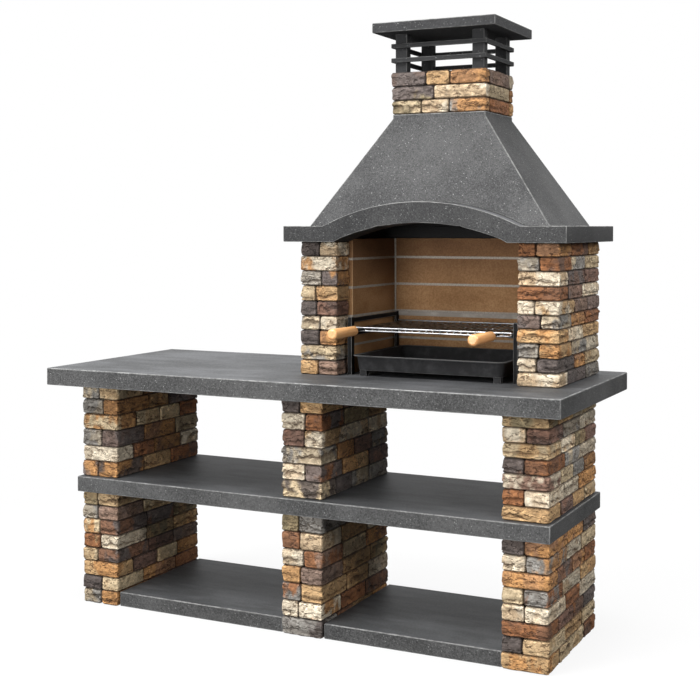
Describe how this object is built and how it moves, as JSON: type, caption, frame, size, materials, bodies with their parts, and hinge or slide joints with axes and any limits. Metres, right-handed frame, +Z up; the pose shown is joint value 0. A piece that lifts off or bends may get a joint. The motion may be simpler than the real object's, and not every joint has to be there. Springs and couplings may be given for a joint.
{
  "type": "masonry barbecue",
  "caption": "Free-standing stone barbecue: open piers carry a shelf and a worktop, with an arched hooded fireplace, louvred chimney, sliding grill and pull-out fire tray.",
  "frame": {"origin": "on the floor, under the middle of the worktop", "axes": "+X along the worktop towards the fireplace end, +Y to the back, +Z up"},
  "size_m": [2.002, 0.83, 2.167],
  "materials": {
    "split_stone": "rough split face, tumbled edges",
    "concrete": "cast charcoal concrete with pale aggregate, brushed smooth",
    "dark_concrete": "cast charcoal concrete, matt",
    "firebrick": "pressed fireclay, matt",
    "black_steel": "heat-proof black paint, satin",
    "bright_steel": "chromed round rod",
    "beech": "turned beech, satin varnish"
  },
  "bodies": {
    "masonry": {"base_slab_left": "concrete", "base_slab_right": "concrete", "pier_left_lower": "split_stone", "pier_middle_lower": "split_stone", "pier_right_lower": "split_stone", "middle_shelf": "concrete", "pier_left_upper": "split_stone", "pier_middle_upper": "split_stone", "pier_right_upper": "split_stone", "worktop": "concrete", "column_left": "split_stone", "column_right": "split_stone", "rear_panel": "concrete", "firebrick_back": "firebrick", "firebrick_left": "firebrick", "firebrick_right": "firebrick", "hood_visor": "concrete", "hood_pyramid": "concrete", "chimney_flue": "concrete", "chimney_collar": "split_stone", "chimney_posts": "dark_concrete", "louvre_front": "dark_concrete", "louvre_back": "dark_concrete", "louvre_left": "dark_concrete", "louvre_right": "dark_concrete", "chimney_cap": "dark_concrete", "grill_stand_left": "black_steel", "grill_stand_right": "black_steel", "grill_stand_rear_bar": "black_steel"},
    "grill": {"grill_rim": "bright_steel", "grill_clamp_rods": "bright_steel", "grill_cross_rods": "bright_steel", "grill_bars": "bright_steel", "grill_handle_rods": "black_steel", "handle_left": "beech", "handle_right": "beech"},
    "tray": {"fire_tray": "black_steel", "tray_feet": "black_steel"}
  },
  "joints": [
    {"name": "grill_slide", "type": "slide", "parent": "masonry", "child": "grill", "axis": [0, -1, 0], "range_m": [0, 0.28]},
    {"name": "tray_slide", "type": "slide", "parent": "masonry", "child": "tray", "axis": [0, -1, 0], "range_m": [0, 0.25]}
  ]
}
